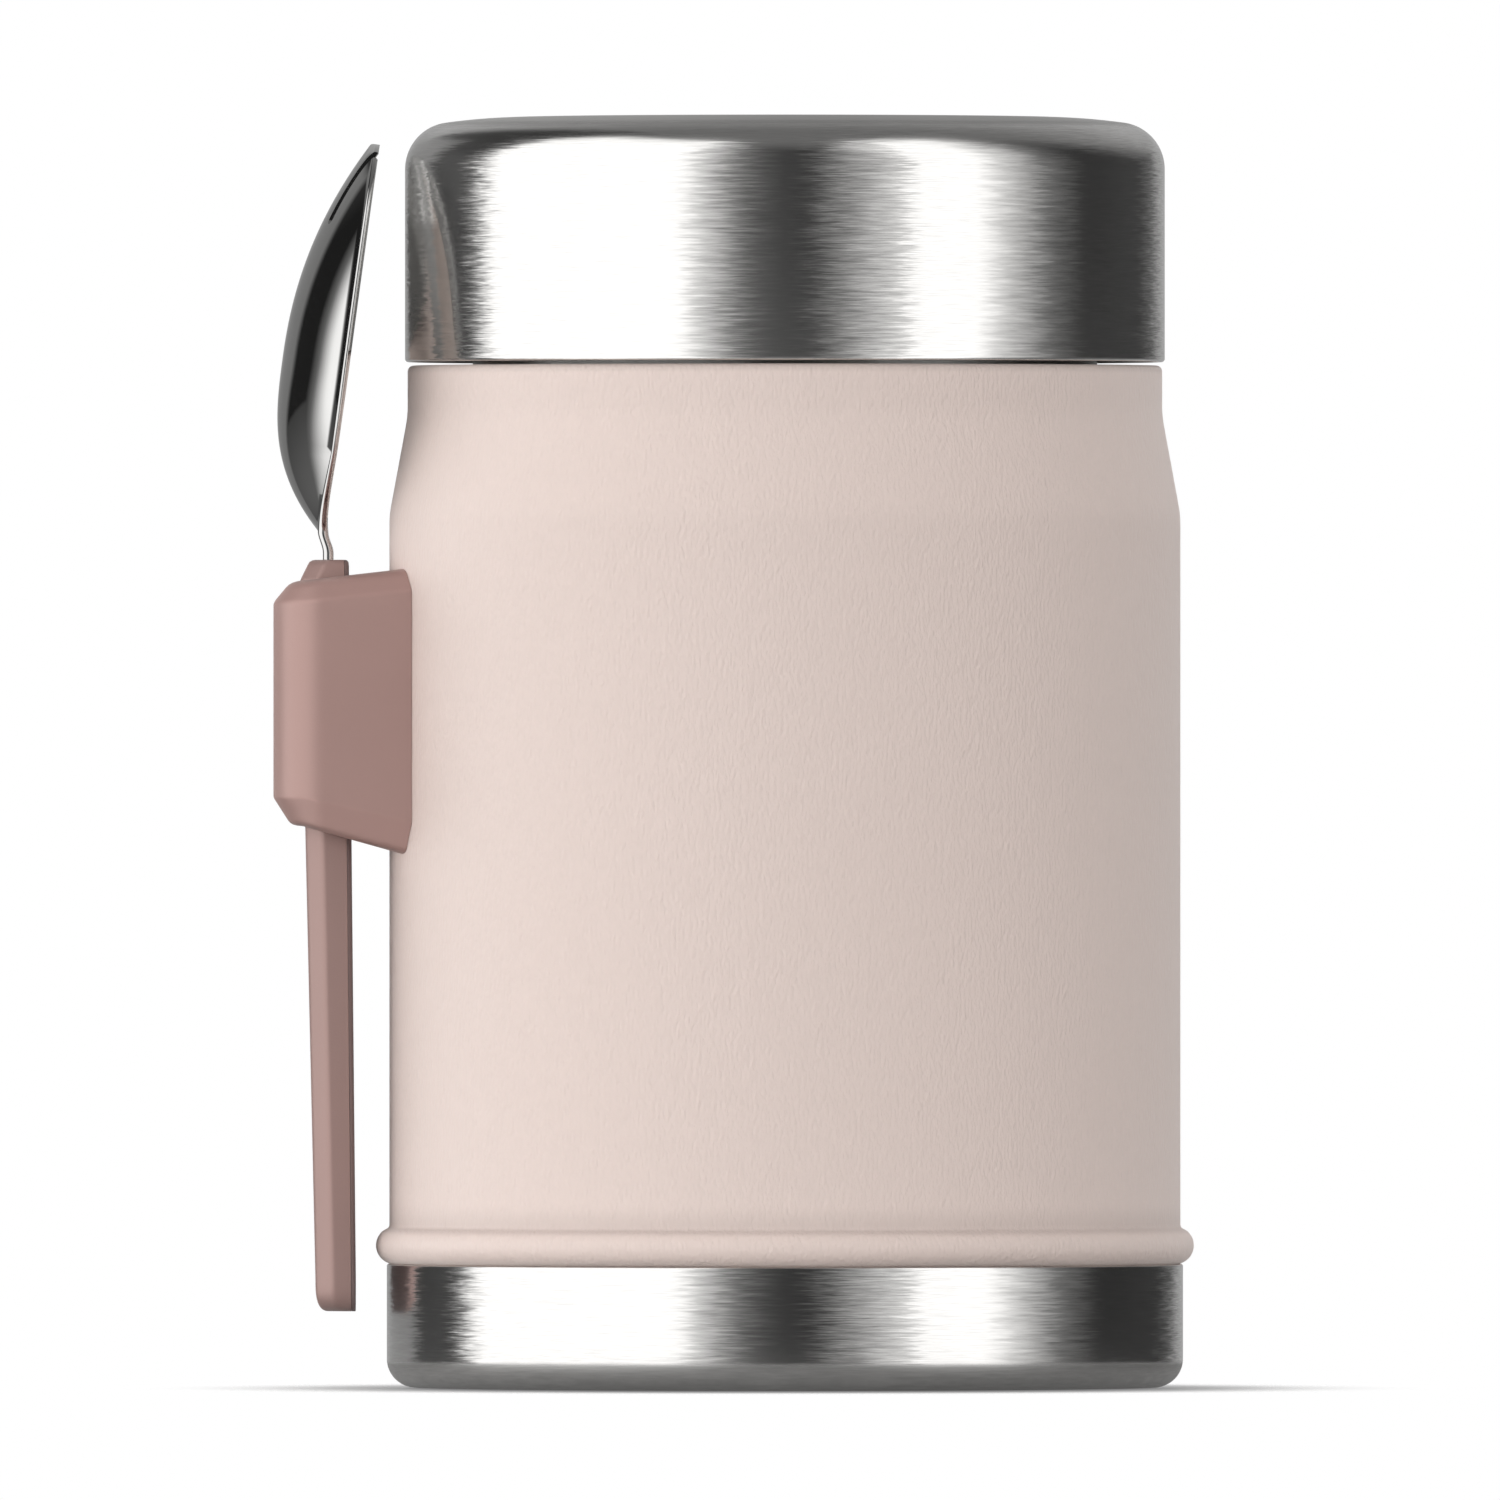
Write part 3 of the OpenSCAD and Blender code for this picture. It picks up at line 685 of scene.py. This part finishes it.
def make_base():
    """Brushed cup with a foot ring, a recessed floor and a softly broken rim."""
    foot_in = BASE_R - BASE_EDGE_R - FOOT_W
    rim = BASE_T / 2
    floor_end = (foot_in - FOOT_RECESS, FOOT_RECESS)
    outer = [(0, FOOT_RECESS)]
    outer += eased((0, FOOT_RECESS), floor_end, (foot_in, 0), FOOT_EASE)
    outer += eased(floor_end, (foot_in, 0), (BASE_R - BASE_EDGE_R, 0), FOOT_EASE)
    outer += arc(BASE_R - BASE_EDGE_R, BASE_EDGE_R, BASE_EDGE_R, -90, 0, steps=24)
    outer += [(BASE_R, BASE_H - rim)]
    inner = beside(outer, BASE_T)
    top = arc(BASE_R - rim, BASE_H - rim, rim, 0, 180, steps=10)[1:-1]
    piece("base_skin", turned(outer + top + inner[::-1]), BASE_STEEL, "jar", ["base_cup"])


# ---------- the lid ----------


def make_lid():
    """Brushed lid shell: rolled hem, straight wall, rounding and a slightly raised flat top."""
    crown_angle = 2 * math.degrees(math.atan(CROWN_H / CROWN_W))
    crown_r = CROWN_W / math.sin(math.radians(crown_angle))
    edge_x = LID_R - LID_EDGE_R
    edge_z = LID_TOP - CROWN_H - LID_EDGE_R * math.cos(math.radians(crown_angle))
    crown_in = edge_x + LID_EDGE_R * math.sin(math.radians(crown_angle)) - CROWN_W
    path = [(LID_R - HEM_W, LID_LOW)]
    path += arc(LID_R - HEM_R, LID_LOW + HEM_R, HEM_R, -90, 0, steps=8)
    path += arc(edge_x, edge_z, LID_EDGE_R, 0, 90 - crown_angle, steps=32)
    path += arc(crown_in, LID_TOP - crown_r, crown_r, 90 - crown_angle * CROWN_LEFT, 90, steps=9)
    path += [(0, LID_TOP)]
    piece("lid_skin", turned(sheet(path, LID_T)), LID_STEEL, "lid", ["lid_shell"])


# ---------- the spork's holder ----------

# points of an edge: how far inside the sides, and how far below the top or above the underside
TOP_EDGE = [
    (0, 3.3), (0, 2.85), (0.05, 2.6), (0.18, 2.34), (0.34, 2.13), (0.5, 1.93), (1.25, 1.03), (1.4, 0.85),
    (1.75, 0.5), (2.2, 0.24), (2.8, 0.06), (3.4, 0),
]
LOW_EDGE = [
    (0, 3.9), (0, 3.5), (0.03, 3.3), (0.12, 3.1), (0.25, 2.9), (1.55, 0.86), (1.7, 0.63), (1.9, 0.4),
    (2.25, 0.18), (2.75, 0.05), (3.4, 0),
]
# change of height toward the jar, where the edge meets the sides and where it meets the top or underside
TOP_SLOPE = (0.11, 0.115)
LOW_SLOPE = (-0.235, -0.28)


def holder_ring(inset, base_z, offset, slopes):
    """One level of the holder; its height changes toward the jar, by a slope that depends on its inset."""
    slope = slopes[0] + (slopes[1] - slopes[0]) * inset / HOLDER_INSET
    outline = rounded(HOLDER_X + inset, HOLDER_IN_X, HOLDER_HALF - inset, HOLDER_EDGE_R - inset, SHARP_R)
    start = HOLDER_X + HOLDER_INSET
    return [(x, y, base_z + offset + slope * max(0, x - start)) for x, y in outline]


def make_holder():
    """Moulded block with chamfered edges, less the wall, the handle's pocket and the dovetail plate."""
    top_z = HOLDER_HIGH + TOP_CHAMFER_H
    low_z = HOLDER_LOW - LOW_CHAMFER_H
    middle = (HOLDER_HIGH + HOLDER_LOW) / 2
    rings = [holder_ring(i, low_z, rise, LOW_SLOPE) for i, rise in reversed(LOW_EDGE)]
    rings += [holder_ring(i, top_z, -drop, TOP_SLOPE) for i, drop in TOP_EDGE]
    reach = (HOLDER_LOW - SPARE, HOLDER_HIGH + SPARE)
    wall = prism(arc(0, 0, BODY_R + SEAT_GAP, 0, 360 - 360 / TURN_STEPS, TURN_STEPS - 1), *reach)
    pocket_x = (HANDLE_OUT_X - SLIDE_GAP, END_IN_X + SLIDE_GAP)
    pocket = prism(bevelled(*pocket_x, HANDLE_HALF + SLIDE_GAP, HANDLE_CUT, POCKET_R), *reach)
    rail_half = RAIL_W / 2 + SLIDE_GAP / 2
    near, far = -BODY_R + RAIL_SUNK, -BODY_R - RAIL_T - SLIDE_GAP / 2
    narrow = rail_half - RAIL_T
    rail_plan = [(near, -narrow), (far, -rail_half), (far, rail_half), (near, narrow)]
    rail = prism(rail_plan, reach[0], middle + RAIL_H / 2 + SLIDE_GAP)
    mesh = cut(lofted(rings), [wall, pocket, rail])
    piece("holder_skin", mesh, HOLDER_PLASTIC, "jar", ["spoon_holder"], sharp=34)


# ---------- the spork ----------


def half_width(u):
    """Half the bowl's width at a share of its length."""
    if u < WIDEST:
        return TANG_W / 2 + (BOWL_W - TANG_W) / 2 * math.sin(math.pi / 2 * u / WIDEST) ** HEEL_OUTLINE
    return BOWL_W / 2 * math.sqrt(1 - ((u - WIDEST) / (1 - WIDEST)) ** TOE_OUTLINE)


def middle_depth(u):
    """The bowl's depth in its middle at a share of its length."""
    if u < WIDEST:
        return BOWL_DEPTH * (1 - (1 - u / WIDEST) ** HEEL_DEPTH)
    return BOWL_DEPTH * (1 - ((u - WIDEST) / (1 - WIDEST)) ** TOE_DEPTH)


def blade_ring(at, back, half, depth, middle_t=BLADE_T, rim_t=BLADE_T, across=40, edge_steps=8):
    """One ring of the blade: its outer face, its inner face and a half-round edge on each side."""
    r = rim_t / 2
    reach = 1 - r / half
    outer, inner = [], []
    for i in range(across + 1):
        share = 2 * i / across - 1
        out = depth * (1 - abs(share * reach) ** BOWL_SECTION)
        thickness = middle_t + (rim_t - middle_t) * abs(share) ** RIM_THINNING
        outer.append((share * reach * half, out + thickness))
        inner.append((share * reach * half, out))
    rim = depth * (1 - reach**BOWL_SECTION) + r
    right = [(half - r + c, rim + s) for c, s in arc(0, 0, r, 90, -90, edge_steps)[1:-1]]
    left = [(-y, out) for y, out in reversed(right)]
    ring = outer + right + inner[::-1] + left
    return [(at[0] + back[0] * out, y, at[1] + back[1] * out) for y, out in ring]


def make_blade():
    """Bowl, neck and tang in one sheet, with the slots between the tines cut out."""
    up = (math.sin(BOWL_LEAN), math.cos(BOWL_LEAN))
    back = (-math.cos(BOWL_LEAN), math.sin(BOWL_LEAN))
    root = (TANG_X - NECK_STEP, HANDLE_TOP + NECK_L)
    bend = (TANG_X, HANDLE_TOP + NECK_L / 4)
    tang_low = HANDLE_TOP - TANG_L
    neck_steps, heel_steps, toe_steps = 10, 32, 40
    rings = [blade_ring((TANG_X, tang_low), (-1, 0), TANG_W / 2 - TANG_CHAMFER, 0)]
    rings += [blade_ring((TANG_X, tang_low + TANG_CHAMFER), (-1, 0), TANG_W / 2, 0)]
    for i in range(neck_steps + 1):
        t = i / neck_steps
        ease = t * t * (3 - 2 * t)
        lean = BOWL_LEAN * t
        at = (bend[0] + (root[0] - bend[0]) * ease, bend[1] + (root[1] - bend[1]) * t)
        rings += [blade_ring(at, (-math.cos(lean), math.sin(lean)), TANG_W / 2, 0)]
    shares = [WIDEST * i / heel_steps for i in range(1, heel_steps)]
    toe = [math.sin(math.radians(TOE_END * i / toe_steps)) for i in range(toe_steps + 1)]
    shares += [WIDEST + (1 - WIDEST) * share for share in toe]
    for u in shares:
        at = (root[0] + up[0] * u * BOWL_L, root[1] + up[1] * u * BOWL_L)
        middle_t = BLADE_T + (TIP_T - BLADE_T) * u**3
        rim_t = BLADE_T + (RIM_T - BLADE_T) * min(1, u / RIM_THIN_FROM) ** RIM_FADE
        rings += [blade_ring(at, back, half_width(u), middle_depth(u), middle_t, rim_t)]
    slots = []
    foot = BOWL_L - SLOT_L
    for i in range(1, SLOTS + 1):
        y = BOWL_W * SLOT_SPREAD * (i / (SLOTS + 1) - 0.5)
        outline = arc(y, foot, SLOT_W / 2, 180, 360, steps=12)
        outline += [(y + SLOT_W / 2, SLOT_TOP), (y - SLOT_W / 2, SLOT_TOP)]
        ends = []
        for out in SLOT_CUT:
            ends.append([(root[0] + up[0] * run + back[0] * out, side, root[1] + up[1] * run + back[1] * out)
                         for side, run in outline])
        slots.append(lofted(ends))
    mesh = cut(lofted(rings), slots)
    piece("blade_skin", mesh, POLISHED, "spoon", ["spoon_blade"], sharp=40)


def handle_rings():
    """Levels of the whole handle, from its rounded lower end to its narrow head."""
    levels = []
    steps = 10
    for i in range(steps + 1):
        a = math.radians(90 * i / steps)
        lift = END_ROUND * (1 - math.cos(a)) if i else 0
        left = 1 - math.sin(a)
        half = END_HALF - END_SIDES[0] * left ** END_SIDES[1]
        out_x = END_OUT_X + END_FACE[0] * left ** END_FACE[1]
        levels.append((HANDLE_LOW + lift, out_x, END_IN_X, half))
    for drop, outer, inner, side in HEAD_EDGE:
        levels.append((HANDLE_TOP - drop, HANDLE_OUT_X + outer, HANDLE_IN_X - inner, HANDLE_HALF - side))
    return [[(x, y, z) for x, y in bevelled(o, i, h, HANDLE_CUT, HANDLE_IN_R)] for z, o, i, h in levels]


def behind_parting(extra):
    """A block on the jar's side of the parting line between the handle and its cover."""
    shift = END_IN_X - HANDLE_IN_X
    ends = []
    for z in (-SPARE, CUT_TOP):
        x = HANDLE_IN_X - BACK_T + extra + shift * (HEAD_Z - z) / (HEAD_Z - HANDLE_LOW)
        ends.append([(x, -SPARE, z), (x + SPARE, -SPARE, z), (x + SPARE, SPARE, z), (x, SPARE, z)])
    return lofted(ends)


def make_handle():
    """The handle in two parts, with the tang's pocket in the front one."""
    half = TANG_W / 2 + SEAT_GAP
    out_x, in_x = TANG_X - BLADE_T - SEAT_GAP, TANG_X + SEAT_GAP
    plan = [(out_x, -half), (in_x, -half), (in_x, half), (out_x, half)]
    pocket = prism(plan, HANDLE_TOP - TANG_L - SEAT_GAP, CUT_TOP)
    front = cut(lofted(handle_rings()), [behind_parting(0), pocket])
    piece("handle_skin", front, HANDLE_PLASTIC, "spoon", ["spoon_handle"], sharp=34)
    # the cover's dark finish is painted shade along the handle's rear edge
    cover = cut(lofted(handle_rings()), [behind_parting(SEAT_GAP)], "INTERSECT")
    piece("handle_back_skin", cover, BACK_PLASTIC, "spoon", ["handle_back"], sharp=34)


# ---------- the studio ----------

# what metal mirrors, as the angle from straight behind the camera, positive toward +X, and its
# brightness: a wide soft panel on the left, a narrow one on the right and dark cards between them;
# a colour ramp holds no more stops than these
STUDIO = [
    (-180, 0.28), (-160, 0.18), (-139, 0.16), (-133, 0.012), (-115, 0.012), (-109, 0.13), (-107, 0.3),
    (-104.8, 0.52), (-101.5, 0.9), (-99.5, 1), (-31, 1), (-26.5, 0.54), (-21.5, 0.42), (-18, 0.24),
    (-14, 0.12), (-8, 0.045), (0, 0.01), (7, 0.015), (12, 0.08), (22, 0.27), (30, 0.46), (36, 0.56),
    (39, 0.97), (62, 1), (69, 0.62), (75, 0.43), (87, 0.12), (103, 0.012), (137, 0.01), (148, 0.06),
    (160, 0.22), (180, 0.28),
]
# strength of the panels and of the ceiling, and how much the ceiling gains toward the back
PANEL = 1.5
CEILING = 0.175
CEILING_GAIN = 1.8
# how much a direction's share toward the back counts as height, where panels give way to the ceiling
BACK_AS_HEIGHT = 0.6
# the shares of straight up, or down, over which the panels end and the ceiling sets in
PANELS_END = (0.83, 0.93)
CEILING_IN = (0.5, 0.92)
# the shares toward -X over which the ceiling dims, and by how much
LEFT_EDGES = (0.3, 0.45)
LEFT_DIM = 0.85
# the shares of straight down over which the table shows in mirrors, its brightness and what it gains
TABLE_IN = (0.05, 0.1)
TABLE, TABLE_GAIN = 0.05, 0.22
# how strongly matt surfaces are lit, from the same angles
SOFT = [
    (-180, 2.8), (-150, 4), (-125, 4.25), (-100, 4.05), (-80, 3.35), (-65, 2.75), (-42, 4.1), (-20, 4.25),
    (-5, 3.15), (8, 2.33), (30, 2.55), (45, 2), (62, 0.9), (105, 1.9), (125, 2.7), (150, 3.6), (180, 2.8),
]
# and from above and below, with the shares of straight up and down over which that sets in
SOFT_TOP, SOFT_TOP_IN = 0.45, (0.08, 0.45)
FLOOR_GLOW, FLOOR_GLOW_IN = 0.03, (0, 0.3)

# the floor's radius, and how far it lies below zero so that it doesn't touch the foot
FLOOR_R = 84
FLOOR_DROP = 0.1
# its glow near the axis and further out, and the distances between which it changes, as the camera
# sees it and as metal mirrors it, the lower glow near the axis being a painted shadow round the foot; then
# the distances between which it turns clear
SEEN_GLOW, SEEN_EDGES = (0.22, 0.85), (43, 82)
MIRRORED_GLOW, MIRRORED_EDGES = (0.14, 0.26), (43, 85)
CLEAR_EDGES = (47, 82)


def make_world():
    """The studio: panels for what mirrors, soft light for what doesn't, and white for the camera."""
    world = bpy.data.worlds.new("studio")
    bpy.context.scene.world = world
    world.use_nodes = True
    tree = world.node_tree
    tree.nodes.clear()

    def node(kind, **settings):
        made = tree.nodes.new(kind)
        for label, value in settings.items():
            setattr(made, label, value)
        return made

    def maths(operation, *values):
        made = node("ShaderNodeMath", operation=operation)
        for value, socket in zip(values, made.inputs):
            if isinstance(value, bpy.types.NodeSocket):
                tree.links.new(value, socket)
            else:
                socket.default_value = value
        return made.outputs[0]

    def between(share, a, b):
        """Goes from a to b as the share goes from 0 to 1."""
        return maths("MULTIPLY_ADD", share, maths("SUBTRACT", b, a), a)

    def round_about(stops):
        """Brightness that changes with the angle round the object."""
        peak = max(level for _, level in stops)
        ramp = node("ShaderNodeValToRGB")
        elements = ramp.color_ramp.elements
        elements[0].position, elements[1].position = 0, 1
        for degrees, _ in stops[1:-1]:
            elements.new(degrees / 360 + 0.5)
        for element, (_, level) in zip(elements, stops):
            element.color = (level / peak, level / peak, level / peak, 1)
        tree.links.new(turn, ramp.inputs[0])
        return maths("MULTIPLY", ramp.outputs[0], peak)

    def step(value, low, high):
        """Goes softly from 0 to 1 between two values."""
        made = node("ShaderNodeMapRange", interpolation_type="SMOOTHSTEP")
        tree.links.new(value, made.inputs["Value"])
        made.inputs["From Min"].default_value = low
        made.inputs["From Max"].default_value = high
        return made.outputs[0]

    split = node("ShaderNodeSeparateXYZ")
    tree.links.new(node("ShaderNodeTexCoord").outputs["Generated"], split.inputs[0])
    x, y, z = split.outputs
    turn = maths("MULTIPLY_ADD", maths("ARCTAN2", x, maths("MULTIPLY", y, -1)), 0.5 / math.pi, 0.5)
    down = maths("MULTIPLY", z, -1)
    panels = maths("MULTIPLY", round_about(STUDIO), PANEL)
    back = maths("MAXIMUM", y, 0)
    steep = maths("MULTIPLY_ADD", back, BACK_AS_HEIGHT, maths("ABSOLUTE", z))
    behind = maths("MULTIPLY", back, back)
    ceiling_in = step(steep, *CEILING_IN)
    ceiling = maths("MULTIPLY", ceiling_in, maths("MULTIPLY_ADD", behind, CEILING_GAIN * CEILING, CEILING))
    left = step(maths("MULTIPLY", x, -1), *LEFT_EDGES)
    ceiling = maths("MULTIPLY", ceiling, maths("MULTIPLY_ADD", left, -LEFT_DIM, 1))
    mirror = maths("MAXIMUM", between(step(steep, *PANELS_END), panels, 0), ceiling)
    table = maths("MULTIPLY", step(down, *TABLE_IN), maths("MULTIPLY_ADD", down, TABLE_GAIN, TABLE))
    mirror = maths("MAXIMUM", mirror, table)
    matt = between(step(z, *SOFT_TOP_IN), round_about(SOFT), SOFT_TOP)
    matt = between(step(down, *FLOOR_GLOW_IN), matt, FLOOR_GLOW)
    path = node("ShaderNodeLightPath").outputs
    mirrored = maths("MAXIMUM", path["Is Glossy Ray"], path["Is Transmission Ray"])
    level = between(path["Is Camera Ray"], between(mirrored, matt, mirror), 1)
    background = node("ShaderNodeBackground")
    tree.links.new(level, background.inputs["Color"])
    tree.links.new(background.outputs[0], node("ShaderNodeOutputWorld").inputs["Surface"])


def make_floor():
    """A pale floor that fades into the white background, and shows the object's shadow near it, deepened by a
    painted shadow: it glows less near the axis.
    """
    f = Finish("floor", (0.25, 0.25, 0.25), 0.9, Specular_IOR_Level=0.2)
    radius = f.node("ShaderNodeVectorMath", operation="LENGTH")
    f.put(f.place, radius.inputs[0])
    distance = radius.outputs["Value"]

    def outward(levels, edges):
        """Goes from one level to another between two distances from the axis."""
        return f.span(distance, *levels, True, [edge * MM for edge in edges])

    path = f.node("ShaderNodeLightPath").outputs
    # painted shadow: the glow is lower near the axis, for the camera and in mirrors
    seen = f.math("MULTIPLY", path["Is Camera Ray"], outward(SEEN_GLOW, SEEN_EDGES))
    mirrored = f.math("MAXIMUM", path["Is Glossy Ray"], path["Is Transmission Ray"])
    mirrored = f.math("MULTIPLY", mirrored, outward(MIRRORED_GLOW, MIRRORED_EDGES))
    glow = f.math("MAXIMUM", seen, mirrored)
    f.shader.inputs["Emission Color"].default_value = (1, 1, 1, 1)
    f.put(glow, f.shader.inputs["Emission Strength"])
    f.put(outward((1, 0), CLEAR_EDGES), f.shader.inputs["Alpha"])
    bm = bmesh.new()
    bmesh.ops.create_circle(bm, cap_ends=True, segments=96, radius=FLOOR_R * MM)
    mesh = bpy.data.meshes.new("floor")
    bm.to_mesh(mesh)
    bm.free()
    mesh.materials.append(f.material)
    floor = bpy.data.objects.new("floor", mesh)
    floor.location = (0, 0, -FLOOR_DROP * MM)
    bpy.context.scene.collection.objects.link(floor)


finish_nodes()
make_wall()
make_base()
make_lid()
make_holder()
make_blade()
make_handle()
make_world()
make_floor()
